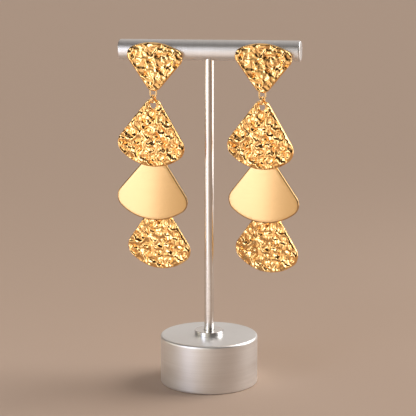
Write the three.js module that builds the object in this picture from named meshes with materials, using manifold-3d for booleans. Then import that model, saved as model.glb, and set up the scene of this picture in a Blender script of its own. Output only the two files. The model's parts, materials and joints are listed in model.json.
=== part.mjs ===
// A pair of chandelier earrings on a round-bar display stand, in millimetres, +Z up.
// Each earring is a column of fan-shaped gold plates: a stud fan pinned through the bar with its
// point down, then three fans that hang point up and step back behind one another on jump rings.

import * as THREE from 'three';
import { mergeVertices } from 'three/addons/utils/BufferGeometryUtils.js';
import Module from 'manifold-3d';

const wasm = await Module();
wasm.setup();

const DEG = Math.PI / 180;

// Stand
const BASE_DIAMETER = 38.8;
const BASE_HEIGHT = 19.4;
const BASE_TOP_CHAMFER = 1.3;
const BASE_FOOT_CHAMFER = 0.4;
const COLLAR_DIAMETER = 11.6;
const COLLAR_HEIGHT = 1.7;
const COLLAR_CHAMFER = 0.3;
const STEM_DIAMETER = 3.8;
const BAR_DIAMETER = 8;
const BAR_LENGTH = 71.6;
const BAR_HEIGHT = 132.4;
const BAR_END_CHAMFER = 0.6;
const SOCKET_DEPTH = 4;
const STAND_CLEARANCE = 0.25;
const STAND_SEGMENTS = 56;
const STEM_SEGMENTS = 24;

// Plates and their wire
const PLATE_THICKNESS = 1.5;
const EDGE_ROUNDING = 0.35;
const RELIEF_HEIGHT = 0.42;
const HAMMER_MARK = 3.5;
const BOWL_REACH = 0.8 * HAMMER_MARK;
const PLATE_COLUMNS = 14;
const PLATE_ROWS = 15;
const SMOOTH_PLATE_ROWS = 3;
const RIM_ROW_SHARE = 0.02;
const WIRE_SIDES = 6;
const RING_WIRE = 0.8;
const RING_SEGMENTS = 16;
const CLEARANCE = 0.1;

// The stud fan leans its two sides unevenly; angles are taken from its centre line.
const STUD_FAN = {
  leftAngle: 35.1 * DEG,
  rightAngle: 40.2 * DEG,
  arcCentre: [-0.72, -1.52],
  arcRadius: 19.45,
  cornerRadius: 3.5,
  pointRadius: 3.4,
};

// All three hanging fans share one outline.
const HANGING_FAN = {
  leftAngle: 37.2 * DEG,
  rightAngle: 36.7 * DEG,
  arcCentre: [0, -8.77],
  arcRadius: 20.6,
  cornerRadius: 5,
  pointRadius: 3.9,
};
const HOLE_BELOW_POINT = 5;
const HOLE_RADIUS = 1.45;
const HOLE_SIDES = 16;

// Stud fan's fittings
const STUD_POINT_HEIGHT = 114.5;
const STUD_BACK_GAP = 0.3;
const EYELET_WIRE = 0.6;
const EYELET_WIDTH = 3;
const EYELET_BOTTOM = 113.96;
const EYELET_LEG_TOP = 3;
const EYELET_STEPS = 20;
const POST_DIAMETER = 0.9;
const POST_SIDES = 12;
const POST_HOLE_DIAMETER = 1.6;
const POST_END = 8.4;
const POST_SPACING = 43;
const NUT_DIAMETER = 4.6;
const NUT_LENGTH = 2.6;
const NUT_BORE_DIAMETER = 1.3;

// Rings and the loops soldered on the backs of the plates; the top ring is wound in two turns.
const TOP_RING_INNER = 1.15;
const TOP_RING_WIRE = 0.6;
const TOP_RING_SPACING = 0.8 * TOP_RING_WIRE;
const TOP_RING_TURN = -18 * DEG;
const TIER_RING_INNER = 1.4;
const LOOP_HALF_WIDTH = 2;
const LOOP_BEND = 1.2;
const LOOP_WIRE = 0.8;
const LOOP_STEPS = 16;
const TIER_STEP = 3.7;

// Where each plate hangs: x of its hole (or of the stud fan's point), height of the hole, and in
// degrees its turn about the vertical and its lean in its own plane.
const EARRINGS = [
  {
    side: 'left',
    stud: { x: -21.1, lean: -0.8 },
    upper: { x: -21.1, holeHeight: 111.4, turn: -13, lean: -4 },
    smooth: { x: -21.5, holeHeight: 89.5, turn: -3, lean: -4.5 },
    lower: { x: -21.0, holeHeight: 69.2, turn: -18, lean: 0 },
  },
  {
    side: 'right',
    stud: { x: 21.9, lean: 0.8 },
    upper: { x: 21.9, holeHeight: 111.5, turn: -20, lean: -3 },
    smooth: { x: 22.4, holeHeight: 90.0, turn: -10, lean: -1.8 },
    lower: { x: 23.0, holeHeight: 69.6, turn: -24, lean: -1.2 },
  },
];

const STUD_MIDDLE = -BAR_DIAMETER / 2 - STUD_BACK_GAP - PLATE_THICKNESS / 2;

const gold = () => new THREE.MeshStandardMaterial({ color: 0xe0a94a, roughness: 0.25, metalness: 1 });
const satinSilver = () =>
  new THREE.MeshStandardMaterial({ color: 0xc4c2c0, roughness: 0.4, metalness: 1 });
const brightSilver = () =>
  new THREE.MeshStandardMaterial({ color: 0xb9b7b5, roughness: 0.15, metalness: 1 });

function welded(geometry) {
  const bare = geometry.clone();
  bare.deleteAttribute('normal');
  bare.deleteAttribute('uv');
  return mergeVertices(bare, 1e-4);
}

function toSolid(geometry) {
  const closed = welded(geometry);
  return new wasm.Manifold(
    new wasm.Mesh({
      numProp: 3,
      vertProperties: new Float32Array(closed.attributes.position.array),
      triVerts: new Uint32Array(closed.index.array),
    }),
  );
}

function toGeometry(solid) {
  const mesh = solid.getMesh();
  const geometry = new THREE.BufferGeometry();
  geometry.setAttribute('position', new THREE.BufferAttribute(mesh.vertProperties, 3));
  geometry.setIndex(new THREE.BufferAttribute(mesh.triVerts, 1));
  geometry.computeVertexNormals();
  return geometry;
}

// A round rod along +Z from a list of [radius, height] pairs; the profile starts and ends on the axis.
function turned(profile, segments) {
  return new THREE.LatheGeometry(
    profile.map(([radius, height]) => new THREE.Vector2(radius, height)),
    segments,
  ).rotateX(Math.PI / 2);
}

function rodAlongY(radius, start, end, sides) {
  return new THREE.CylinderGeometry(radius, radius, end - start, sides).translate(0, (start + end) / 2, 0);
}

function wireAlong(points, diameter, steps) {
  const section = new THREE.Shape(
    Array.from({ length: WIRE_SIDES }, (_, side) => {
      const angle = (side * 2 * Math.PI) / WIRE_SIDES;
      return new THREE.Vector2(Math.cos(angle), Math.sin(angle)).multiplyScalar(diameter / 2);
    }),
  );
  return new THREE.ExtrudeGeometry(section, {
    extrudePath: new THREE.CatmullRomCurve3(points),
    steps,
    bevelEnabled: false,
  });
}

// A ring in the YZ plane, shifted along its axis and then turned about the vertical.
function ringTurn(innerRadius, wire, shift, turn) {
  return new THREE.TorusGeometry(innerRadius + wire / 2, wire / 2, WIRE_SIDES, RING_SEGMENTS)
    .rotateY(Math.PI / 2)
    .translate(shift, 0, 0)
    .rotateZ(turn);
}

function doubleRing(innerRadius, turn) {
  const [first, second] = [-TOP_RING_SPACING / 2, TOP_RING_SPACING / 2].map((shift) =>
    toSolid(ringTurn(innerRadius, TOP_RING_WIRE, shift, turn)));
  return toGeometry(first.add(second));
}

// Larger crossing of a ray from the point of the fan with a circle.
function leaveCircle(direction, [cx, cz], radius) {
  const along = direction[0] * cx + direction[1] * cz;
  return along + Math.sqrt(Math.max(along * along - (cx * cx + cz * cz - radius * radius), 0));
}

function enterCircle(direction, [cx, cz], radius) {
  const along = direction[0] * cx + direction[1] * cz;
  return along - Math.sqrt(Math.max(along * along - (cx * cx + cz * cz - radius * radius), 0));
}

// Centre of the rounding between a straight side and the bottom arc, and the ray where it meets the arc.
function cornerRounding(fan, side) {
  const angle = side > 0 ? fan.rightAngle : fan.leftAngle;
  const along = [side * Math.sin(angle), -Math.cos(angle)];
  const inward = [-side * Math.cos(angle), -Math.sin(angle)];
  const offset = [
    inward[0] * fan.cornerRadius - fan.arcCentre[0],
    inward[1] * fan.cornerRadius - fan.arcCentre[1],
  ];
  const half = offset[0] * along[0] + offset[1] * along[1];
  const rest = offset[0] ** 2 + offset[1] ** 2 - (fan.arcRadius - fan.cornerRadius) ** 2;
  const reach = -half + Math.sqrt(half * half - rest);
  const centre = [
    along[0] * reach + inward[0] * fan.cornerRadius,
    along[1] * reach + inward[1] * fan.cornerRadius,
  ];
  const outX = centre[0] - fan.arcCentre[0];
  const outZ = centre[1] - fan.arcCentre[1];
  const scale = fan.arcRadius / Math.hypot(outX, outZ);
  const meetX = fan.arcCentre[0] + outX * scale;
  const meetZ = fan.arcCentre[1] + outZ * scale;
  return { centre, meets: Math.atan2(meetX, -meetZ) };
}

// Near and far end of the plate on the ray at an angle from straight down, from the fan's point.
function fanSpan(fan) {
  const half = (fan.leftAngle + fan.rightAngle) / 2;
  const middle = (fan.rightAngle - fan.leftAngle) / 2;
  const depth = fan.pointRadius / Math.sin(half);
  const pointCentre = [depth * Math.sin(middle), -depth * Math.cos(middle)];
  const left = cornerRounding(fan, -1);
  const right = cornerRounding(fan, 1);
  return (angle) => {
    const direction = [Math.sin(angle), -Math.cos(angle)];
    const near = enterCircle(direction, pointCentre, fan.pointRadius);
    if (angle < left.meets) {
      return [near, leaveCircle(direction, left.centre, fan.cornerRadius)];
    }
    if (angle > right.meets) {
      return [near, leaveCircle(direction, right.centre, fan.cornerRadius)];
    }
    return [near, leaveCircle(direction, fan.arcCentre, fan.arcRadius)];
  };
}

// A repeatable fraction from 0 to 1 for a cell of the hammered pattern.
function scatter(column, row, salt) {
  const wave = Math.sin(column * 127.1 + row * 311.7 + salt * 74.7) * 43758.5453;
  return wave - Math.floor(wave);
}

// Hammered relief: shallow bowls that meet in raised creases, 0 in a bowl and 1 on a high crease.
function hammered(x, z) {
  const column = Math.floor(x / HAMMER_MARK);
  const row = Math.floor(z / HAMMER_MARK);
  let nearest = Infinity;
  for (let i = column - 1; i <= column + 1; i += 1) {
    for (let j = row - 1; j <= row + 1; j += 1) {
      const bowlX = (i + scatter(i, j, 1)) * HAMMER_MARK;
      const bowlZ = (j + scatter(i, j, 2)) * HAMMER_MARK;
      nearest = Math.min(nearest, Math.hypot(x - bowlX, z - bowlZ));
    }
  }
  return Math.min(nearest / BOWL_REACH, 1) ** 2;
}

// A fan plate in the XZ plane with its point at the origin, opening towards -Z, front towards -Y.
function fanPlate(fan, textured) {
  const span = fanSpan(fan);
  const rows = textured ? PLATE_ROWS : SMOOTH_PLATE_ROWS;
  const half = (fan.leftAngle + fan.rightAngle) / 2;
  const middle = (fan.rightAngle - fan.leftAngle) / 2;
  const rowShare = (row) => {
    if (row === 0) return 0;
    if (row === rows) return 1;
    return RIM_ROW_SHARE + ((1 - 2 * RIM_ROW_SHARE) * (row - 1)) / (rows - 2);
  };
  const positions = [];
  const grid = (front) => {
    for (let row = 0; row <= rows; row += 1) {
      for (let column = 0; column <= PLATE_COLUMNS; column += 1) {
        const angle = middle + half * Math.sin(((2 * column) / PLATE_COLUMNS - 1) * (Math.PI / 2));
        const [near, far] = span(angle);
        const radius = near + (far - near) * rowShare(row);
        const x = radius * Math.sin(angle);
        const z = -radius * Math.cos(angle);
        const rim = row === 0 || row === rows || column === 0 || column === PLATE_COLUMNS;
        const relief = textured && front && !rim ? RELIEF_HEIGHT * hammered(x, z) : 0;
        const lift = PLATE_THICKNESS / 2 - (rim ? EDGE_ROUNDING : 0) + relief;
        positions.push(x, front ? -lift : lift, z);
      }
    }
  };
  grid(true);
  grid(false);
  const width = PLATE_COLUMNS + 1;
  const backStart = width * (rows + 1);
  const faces = [];
  const quad = (a, b, c, d) => faces.push(a, b, c, a, c, d);
  for (let row = 0; row < rows; row += 1) {
    for (let column = 0; column < PLATE_COLUMNS; column += 1) {
      const a = row * width + column;
      quad(a, a + width, a + width + 1, a + 1);
      quad(backStart + a, backStart + a + 1, backStart + a + width + 1, backStart + a + width);
    }
  }
  for (let column = 0; column < PLATE_COLUMNS; column += 1) {
    const last = rows * width + column;
    quad(column, column + 1, backStart + column + 1, backStart + column);
    quad(last, backStart + last, backStart + last + 1, last + 1);
  }
  for (let row = 0; row < rows; row += 1) {
    const first = row * width;
    const last = first + PLATE_COLUMNS;
    quad(first, backStart + first, backStart + first + width, first + width);
    quad(last, last + width, backStart + last + width, backStart + last);
  }
  const geometry = new THREE.BufferGeometry();
  geometry.setAttribute('position', new THREE.Float32BufferAttribute(positions, 3));
  geometry.setIndex(faces);
  return geometry;
}

const group = new THREE.Group();

function addPart(name, geometry, material, position = [0, 0, 0], turn = 0, lean = 0) {
  const mesh = new THREE.Mesh(geometry, material);
  mesh.name = name;
  mesh.position.set(...position);
  mesh.rotation.set(0, -lean, turn, 'ZYX');
  mesh.updateMatrixWorld(true);
  group.add(mesh);
  return mesh;
}

function addStand() {
  const baseRadius = BASE_DIAMETER / 2;
  const socketRadius = STEM_DIAMETER / 2 + STAND_CLEARANCE;
  const base = turned(
    [
      [0, 0],
      [baseRadius - BASE_FOOT_CHAMFER, 0],
      [baseRadius, BASE_FOOT_CHAMFER],
      [baseRadius, BASE_HEIGHT - BASE_TOP_CHAMFER],
      [baseRadius - BASE_TOP_CHAMFER, BASE_HEIGHT],
      [socketRadius, BASE_HEIGHT],
      [socketRadius, BASE_HEIGHT - SOCKET_DEPTH],
      [0, BASE_HEIGHT - SOCKET_DEPTH],
    ],
    STAND_SEGMENTS,
  );
  addPart('base', base, satinSilver());

  const collarRadius = COLLAR_DIAMETER / 2;
  const collar = turned(
    [
      [socketRadius, 0],
      [collarRadius, 0],
      [collarRadius, COLLAR_HEIGHT - COLLAR_CHAMFER],
      [collarRadius - COLLAR_CHAMFER, COLLAR_HEIGHT],
      [socketRadius, COLLAR_HEIGHT],
      [socketRadius, 0],
    ],
    STEM_SEGMENTS,
  );
  addPart('foot_collar', collar, brightSilver(), [0, 0, BASE_HEIGHT]);

  const stemStart = BASE_HEIGHT - SOCKET_DEPTH + STAND_CLEARANCE;
  const stemEnd = BAR_HEIGHT - BAR_DIAMETER / 2 + SOCKET_DEPTH - STAND_CLEARANCE;
  const stemRadius = STEM_DIAMETER / 2;
  const stem = turned(
    [
      [0, stemStart],
      [stemRadius, stemStart],
      [stemRadius, stemEnd],
      [0, stemEnd],
    ],
    STEM_SEGMENTS,
  );
  addPart('stem', stem, brightSilver());

  const barRadius = BAR_DIAMETER / 2;
  const barHalf = BAR_LENGTH / 2;
  const barRod = turned(
    [
      [0, -barHalf],
      [barRadius - BAR_END_CHAMFER, -barHalf],
      [barRadius, -barHalf + BAR_END_CHAMFER],
      [barRadius, barHalf - BAR_END_CHAMFER],
      [barRadius - BAR_END_CHAMFER, barHalf],
      [0, barHalf],
    ],
    STAND_SEGMENTS / 2,
  ).rotateY(Math.PI / 2);
  const socket = new THREE.CylinderGeometry(socketRadius, socketRadius, 2 * SOCKET_DEPTH, STEM_SEGMENTS)
    .rotateX(Math.PI / 2)
    .translate(0, 0, -barRadius);
  let bar = toSolid(barRod).subtract(toSolid(socket));
  for (const side of [-1, 1]) {
    const drilled = rodAlongY(POST_HOLE_DIAMETER / 2, -BAR_DIAMETER, BAR_DIAMETER, HOLE_SIDES);
    bar = bar.subtract(toSolid(drilled.translate((side * POST_SPACING) / 2, 0, 0)));
  }
  addPart('bar', toGeometry(bar), satinSilver(), [0, 0, BAR_HEIGHT]);
}

// The stud fan with its eyelet and post is one soldered piece; its origin is the fan's point.
function addStud(side, place) {
  const lean = place.lean * DEG;
  const upright = fanPlate(STUD_FAN, true).rotateX(Math.PI).scale(1, -1, 1);
  upright.setIndex(Array.from(upright.index.array).reverse());
  const eyeletHalf = (EYELET_WIDTH - EYELET_WIRE) / 2;
  const bend = EYELET_BOTTOM + EYELET_WIRE / 2 + eyeletHalf - STUD_POINT_HEIGHT;
  const legs = [0, 1 / 3, 2 / 3].map((share) => EYELET_LEG_TOP + (bend - EYELET_LEG_TOP) * share);
  const eyelet = wireAlong(
    [
      ...legs.map((height) => new THREE.Vector3(-eyeletHalf, 0, height)),
      ...[0, 30, 60, 90, 120, 150, 180].map((angle) => new THREE.Vector3(
        -eyeletHalf * Math.cos(angle * DEG),
        0,
        bend - eyeletHalf * Math.sin(angle * DEG),
      )),
      ...legs.reverse().map((height) => new THREE.Vector3(eyeletHalf, 0, height)),
    ],
    EYELET_WIRE,
    EYELET_STEPS,
  ).rotateY(lean);
  const toPost = new THREE.Vector3(
    Math.sign(place.x) * (POST_SPACING / 2) - place.x,
    0,
    BAR_HEIGHT - STUD_POINT_HEIGHT,
  ).applyAxisAngle(new THREE.Vector3(0, 1, 0), lean);
  const post = rodAlongY(POST_DIAMETER / 2, 0, POST_END - STUD_MIDDLE, POST_SIDES)
    .translate(toPost.x, 0, toPost.z);
  const stud = toSolid(upright).add(toSolid(eyelet)).add(toSolid(post));
  addPart(`${side}_stud_fan`, toGeometry(stud), gold(), [place.x, STUD_MIDDLE, STUD_POINT_HEIGHT], 0, lean);

  const nutStart = BAR_DIAMETER / 2 + STUD_BACK_GAP;
  const nut = toSolid(rodAlongY(NUT_DIAMETER / 2, 0, NUT_LENGTH, HOLE_SIDES))
    .subtract(toSolid(rodAlongY(NUT_BORE_DIAMETER / 2, -NUT_LENGTH, 2 * NUT_LENGTH, POST_SIDES)));
  const nutX = (Math.sign(place.x) * POST_SPACING) / 2;
  addPart(`${side}_ear_nut`, toGeometry(nut), gold(), [nutX, nutStart, BAR_HEIGHT]);
}

// Centre of the ring that a hanging fan's rim rests in.
function ringCentre(place, middle, innerRadius) {
  const rest = Math.sqrt(innerRadius ** 2 - (PLATE_THICKNESS / 2) ** 2);
  return new THREE.Vector3(place.x, middle, place.holeHeight + HOLE_RADIUS - CLEARANCE + rest);
}

// The loop soldered on a plate's back, bowed out level to the ring that it carries.
function backLoop(plateMatrix, centre) {
  const barHeight = Math.sqrt(TIER_RING_INNER ** 2 - (LOOP_WIRE / 2) ** 2) - CLEARANCE - LOOP_WIRE / 2;
  const bar = centre.clone().add(new THREE.Vector3(0, 0, barHeight)).applyMatrix4(plateMatrix.clone().invert());
  const foot = PLATE_THICKNESS / 2 - LOOP_WIRE / 2;
  const bend = bar.y - LOOP_BEND;
  const legs = [foot, (foot + bend) / 2, bend];
  const points = legs.map((y) => new THREE.Vector3(bar.x - LOOP_HALF_WIDTH, y, bar.z));
  for (let angle = 150; angle >= 30; angle -= 30) {
    points.push(new THREE.Vector3(
      bar.x + LOOP_HALF_WIDTH * Math.cos(angle * DEG),
      bend + LOOP_BEND * Math.sin(angle * DEG),
      bar.z,
    ));
  }
  points.push(...legs.reverse().map((y) => new THREE.Vector3(bar.x + LOOP_HALF_WIDTH, y, bar.z)));
  return wireAlong(points, LOOP_WIRE, LOOP_STEPS);
}

// A hanging fan's origin is its hole; carried is the centre of the ring that its back loop holds.
function addHangingFan(name, place, middle, textured, carried) {
  const turn = place.turn * DEG;
  const lean = place.lean * DEG;
  const plate = fanPlate(HANGING_FAN, textured).translate(0, 0, HOLE_BELOW_POINT);
  const hole = rodAlongY(HOLE_RADIUS, -PLATE_THICKNESS, PLATE_THICKNESS, HOLE_SIDES);
  let solid = toSolid(plate).subtract(toSolid(hole));
  const position = new THREE.Vector3(place.x, middle, place.holeHeight);
  if (carried) {
    const rotation = new THREE.Quaternion().setFromEuler(new THREE.Euler(0, -lean, turn, 'ZYX'));
    const matrix = new THREE.Matrix4().compose(position, rotation, new THREE.Vector3(1, 1, 1));
    solid = solid.add(toSolid(backLoop(matrix, carried)));
  }
  addPart(name, toGeometry(solid), gold(), position.toArray(), turn, lean);
}

function addEarring({ side, stud, upper, smooth, lower }) {
  const smoothMiddle = STUD_MIDDLE + TIER_STEP;
  const lowerMiddle = STUD_MIDDLE + 2 * TIER_STEP;
  const topRing = ringCentre(upper, STUD_MIDDLE, TOP_RING_INNER);
  const upperRing = ringCentre(smooth, smoothMiddle, TIER_RING_INNER);
  const lowerRing = ringCentre(lower, lowerMiddle, TIER_RING_INNER);
  const between = (one, other) => ((one.turn + other.turn) / 2) * DEG;
  const addRing = (name, ring, centre) => addPart(`${side}_${name}`, ring, gold(), centre.toArray());
  const tierRing = (turn) => ringTurn(TIER_RING_INNER, RING_WIRE, 0, turn);

  addStud(side, stud);
  addRing('top_ring', doubleRing(TOP_RING_INNER, TOP_RING_TURN), topRing);
  addHangingFan(`${side}_upper_fan`, upper, STUD_MIDDLE, true, upperRing);
  addRing('upper_ring', tierRing(between(upper, smooth)), upperRing);
  addHangingFan(`${side}_smooth_fan`, smooth, smoothMiddle, false, lowerRing);
  addRing('lower_ring', tierRing(between(smooth, lower)), lowerRing);
  addHangingFan(`${side}_lower_fan`, lower, lowerMiddle, true, null);
}

addStand();
EARRINGS.forEach(addEarring);

export default group;
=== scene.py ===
# %% [markdown]
# # A pair of chandelier earrings on a T-bar stand
# Each earring is a column of fan-shaped gold plates. The first is pinned through the bar with its
# point down, and three more hang from it point up, each a step behind the one above. The solid model
# is a fixed frame with plain facets. This lesson dresses it: finely hammered and satin plates, real
# wire, a turned stand, and the finish of each metal.

# %% Load the fixed frame
import json
import math

import bpy
import numpy as np
from mathutils import Matrix, Vector
from mathutils.geometry import delaunay_2d_cdt


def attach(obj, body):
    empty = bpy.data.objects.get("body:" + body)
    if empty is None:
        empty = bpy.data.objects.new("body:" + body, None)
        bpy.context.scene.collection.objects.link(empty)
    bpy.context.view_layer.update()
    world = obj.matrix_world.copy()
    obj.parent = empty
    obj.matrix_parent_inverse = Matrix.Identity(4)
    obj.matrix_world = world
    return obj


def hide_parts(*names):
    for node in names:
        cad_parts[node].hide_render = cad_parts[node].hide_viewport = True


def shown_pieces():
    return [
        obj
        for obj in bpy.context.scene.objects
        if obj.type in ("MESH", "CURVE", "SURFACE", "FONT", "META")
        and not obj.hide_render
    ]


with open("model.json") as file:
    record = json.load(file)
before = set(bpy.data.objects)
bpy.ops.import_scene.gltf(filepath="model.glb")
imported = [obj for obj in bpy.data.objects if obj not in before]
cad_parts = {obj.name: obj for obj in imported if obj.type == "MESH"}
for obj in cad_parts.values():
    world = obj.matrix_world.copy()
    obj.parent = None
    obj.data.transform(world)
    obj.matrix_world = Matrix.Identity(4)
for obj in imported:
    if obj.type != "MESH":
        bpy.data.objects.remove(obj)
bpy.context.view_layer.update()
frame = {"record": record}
MM = 0.001

# %% [markdown]
# ## The camera
# The photograph looks down a little, from a step to the right of the stand. A long lens keeps the
# bar's two ends nearly the same size, so the camera stands half a metre away.

# %% Set the camera
CAMERA_DISTANCE = 505.2 * MM
CAMERA_SIDESTEP = -0.43 * MM
CAMERA_HEIGHT = 158.4 * MM
CAMERA_TURN = math.radians(12.33)
CAMERA_TILT = math.radians(9.87)
CAMERA_LENS = 112.5

camera_data = bpy.data.cameras.new("camera")
camera_data.lens = CAMERA_LENS
camera_data.sensor_width = 36
camera_data.clip_start = 0.05
camera_data.clip_end = 60
camera = bpy.data.objects.new("camera", camera_data)
bpy.context.scene.collection.objects.link(camera)
backward = Vector((math.sin(CAMERA_TURN), -math.cos(CAMERA_TURN), 0))
rightward = Vector((math.cos(CAMERA_TURN), math.sin(CAMERA_TURN), 0))
camera.location = (
    backward * CAMERA_DISTANCE + rightward * CAMERA_SIDESTEP + Vector((0, 0, CAMERA_HEIGHT))
)
camera.rotation_euler = (math.pi / 2 - CAMERA_TILT, 0, CAMERA_TURN)
bpy.context.scene.camera = camera
print("camera at, in mm:", [round(v / MM) for v in camera.location])

# %% [markdown]
# ## Small helpers for node trees
# Every material here is a short tree of nodes, and so is the shape of the hammered faces and of
# the wire. A helper that adds one node, sets its inputs and links what feeds it keeps each tree
# readable. The Math and Vector Math nodes are the same in shaders and in Geometry Nodes.


# %% Helpers for node trees
def add_node(tree, kind, inputs=None, **settings):
    """Adds a node, sets its properties, and sets or links its named inputs."""
    node = tree.nodes.new(kind)
    for name, value in settings.items():
        setattr(node, name, value)
    for name, value in (inputs or {}).items():
        if isinstance(value, bpy.types.NodeSocket):
            tree.links.new(value, node.inputs[name])
        else:
            node.inputs[name].default_value = value
    return node


def new_group(name, inputs, outputs, kind="ShaderNodeTree"):
    """Makes a node group from {name: (socket type, default)} inputs and {name: socket type} outputs."""
    tree = bpy.data.node_groups.new(name, kind)
    for label, (socket_type, default) in inputs.items():
        socket = tree.interface.new_socket(label, in_out="INPUT", socket_type=socket_type)
        if default is not None:
            socket.default_value = default
    for label, socket_type in outputs.items():
        tree.interface.new_socket(label, in_out="OUTPUT", socket_type=socket_type)
    return tree, tree.nodes.new("NodeGroupInput"), tree.nodes.new("NodeGroupOutput")


def math_node(tree, operation, first, second=0.0):
    """One Math node; either value may be a number or a socket."""
    return add_node(tree, "ShaderNodeMath", {0: first, 1: second}, operation=operation).outputs[0]


def vector_node(tree, operation, first, second=(0.0, 0.0, 0.0), scale=1.0):
    """One Vector Math node; its values may be tuples or sockets."""
    inputs = {0: first, 1: second}
    if operation == "SCALE":
        inputs = {0: first, "Scale": scale}
    return add_node(tree, "ShaderNodeVectorMath", inputs, operation=operation).outputs[0]


# %% [markdown]
# ## Shared effects
# Plated metal is never one flat colour: the plating is a little thicker here and thinner there.
# `plating tone` mixes two golds or two greys with soft noise. `brushed lines` draws the fine
# scratches that a satin wheel or a lathe tool leaves: noise squeezed hard along one direction.

# %% Node group: plating tone
tone_group, tone_in, tone_out = new_group(
    "plating tone",
    {
        "Vector": ("NodeSocketVector", None),
        "Scale": ("NodeSocketFloat", 120.0),
        "First Colour": ("NodeSocketColor", (0.8, 0.6, 0.3, 1)),
        "Second Colour": ("NodeSocketColor", (0.9, 0.7, 0.4, 1)),
    },
    {"Color": "NodeSocketColor"},
)
cloud = add_node(
    tone_group,
    "ShaderNodeTexNoise",
    {
        "Vector": tone_in.outputs["Vector"],
        "Scale": tone_in.outputs["Scale"],
        "Detail": 3.0,
        "Roughness": 0.6,
    },
)
spread = add_node(
    tone_group, "ShaderNodeMapRange", {"Value": cloud.outputs[0], "From Min": 0.32, "From Max": 0.68}
)
tone_mix = add_node(
    tone_group,
    "ShaderNodeMix",
    {
        0: spread.outputs[0],
        6: tone_in.outputs["First Colour"],
        7: tone_in.outputs["Second Colour"],
    },
    data_type="RGBA",
)
tone_group.links.new(tone_mix.outputs[2], tone_out.inputs["Color"])

# %% Node group: brushed lines
brush_group, brush_in, brush_out = new_group(
    "brushed lines",
    {
        "Vector": ("NodeSocketVector", None),
        "Stretch": ("NodeSocketVector", (1.0, 1.0, 40.0)),
        "Density": ("NodeSocketFloat", 200.0),
        "Smooth Roughness": ("NodeSocketFloat", 0.25),
        "Rough Roughness": ("NodeSocketFloat", 0.4),
    },
    {"Height": "NodeSocketFloat", "Roughness": "NodeSocketFloat"},
)
squeeze = vector_node(
    brush_group, "MULTIPLY", brush_in.outputs["Vector"], brush_in.outputs["Stretch"]
)
scratches = add_node(
    brush_group,
    "ShaderNodeTexNoise",
    {
        "Vector": squeeze,
        "Scale": brush_in.outputs["Density"],
        "Detail": 4.0,
        "Roughness": 0.65,
    },
)
brush_range = add_node(
    brush_group,
    "ShaderNodeMapRange",
    {
        "Value": scratches.outputs[0],
        "From Min": 0.3,
        "From Max": 0.7,
        "To Min": brush_in.outputs["Smooth Roughness"],
        "To Max": brush_in.outputs["Rough Roughness"],
    },
)
brush_group.links.new(scratches.outputs[0], brush_out.inputs["Height"])
brush_group.links.new(brush_range.outputs[0], brush_out.inputs["Roughness"])
print("shared effects:", [tree.name for tree in (tone_group, brush_group)])

# %% [markdown]
# ## Metals
# All pieces are bare or plated metal, so each material is a Principled shader with Metallic at 1.
# What sets them apart is colour, roughness and the direction of the fine lines. The recipe is one
# function, and each finish is a short call of it with its own values. The tones are stretched the
# same way as the lines, so that streaks of tone run along the brushing. A high density makes the
# lines finer, and a stretch of 1 in each direction leaves an even grain.


# %% The recipe for a metal
def metal(name, colours, roughness, stretch, density, line_depth, tone_scale=160.0):
    """A metal with two tones, brushed lines and a roughness that follows the lines."""
    material = bpy.data.materials.new(name)
    material.use_nodes = True
    tree = material.node_tree
    shader = tree.nodes["Principled BSDF"]
    shader.inputs["Metallic"].default_value = 1.0
    place = add_node(tree, "ShaderNodeTexCoord").outputs["Object"]
    along = vector_node(tree, "MULTIPLY", place, stretch)
    tone = add_node(
        tree,
        "ShaderNodeGroup",
        {
            "Vector": along,
            "Scale": tone_scale,
            "First Colour": (*colours[0], 1),
            "Second Colour": (*colours[1], 1),
        },
        node_tree=tone_group,
    )
    lines = add_node(
        tree,
        "ShaderNodeGroup",
        {
            "Vector": place,
            "Stretch": stretch,
            "Density": density,
            "Smooth Roughness": roughness[0],
            "Rough Roughness": roughness[1],
        },
        node_tree=brush_group,
    )
    bump = add_node(
        tree,
        "ShaderNodeBump",
        {"Height": lines.outputs["Height"], "Distance": line_depth, "Strength": 1.0},
    )
    tree.links.new(tone.outputs["Color"], shader.inputs["Base Color"])
    tree.links.new(lines.outputs["Roughness"], shader.inputs["Roughness"])
    tree.links.new(bump.outputs["Normal"], shader.inputs["Normal"])
    return material


# %% The finishes
hammered_gold = metal(
    "hammered gold",
    colours=((1.0, 0.58, 0.21), (1.0, 0.66, 0.28)),
    roughness=(0.08, 0.15),
    stretch=(1.0, 1.0, 1.0),
    density=900.0,
    line_depth=0.006 * MM,
    tone_scale=420.0,
)
# The smooth plates wear the same gold plating as the hammered ones. Their colour is set much darker as
# painted shade, which tones down the bright lights that the satin face mirrors.
shaded_satin_gold = metal(
    "satin gold",
    colours=((0.625, 0.405, 0.19), (0.635, 0.415, 0.195)),
    roughness=(0.20, 0.25),
    stretch=(1.0, 1.0, 12.0),
    density=700.0,
    line_depth=0.001 * MM,
)
wire_gold = metal(
    "wire gold",
    colours=((1.0, 0.66, 0.29), (1.0, 0.71, 0.34)),
    roughness=(0.14, 0.22),
    stretch=(1.0, 1.0, 1.0),
    density=900.0,
    line_depth=0.004 * MM,
)
satin_metal = metal(
    "satin metal",
    colours=((0.82, 0.825, 0.83), (0.88, 0.885, 0.89)),
    roughness=(0.36, 0.48),
    stretch=(0.15, 0.15, 6.0),
    density=260.0,
    line_depth=0.014 * MM,
    tone_scale=260.0,
)
bar_metal = metal(
    "bar metal",
    colours=((0.75, 0.745, 0.745), (0.80, 0.795, 0.795)),
    roughness=(0.38, 0.50),
    stretch=(14.0, 1.0, 1.0),
    density=500.0,
    line_depth=0.004 * MM,
)
polished_metal = metal(
    "polished metal",
    colours=((0.78, 0.77, 0.765), (0.84, 0.83, 0.825)),
    roughness=(0.18, 0.26),
    stretch=(1.0, 1.0, 8.0),
    density=900.0,
    line_depth=0.003 * MM,
)
print("finishes:", [material.name for material in bpy.data.materials])

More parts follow.
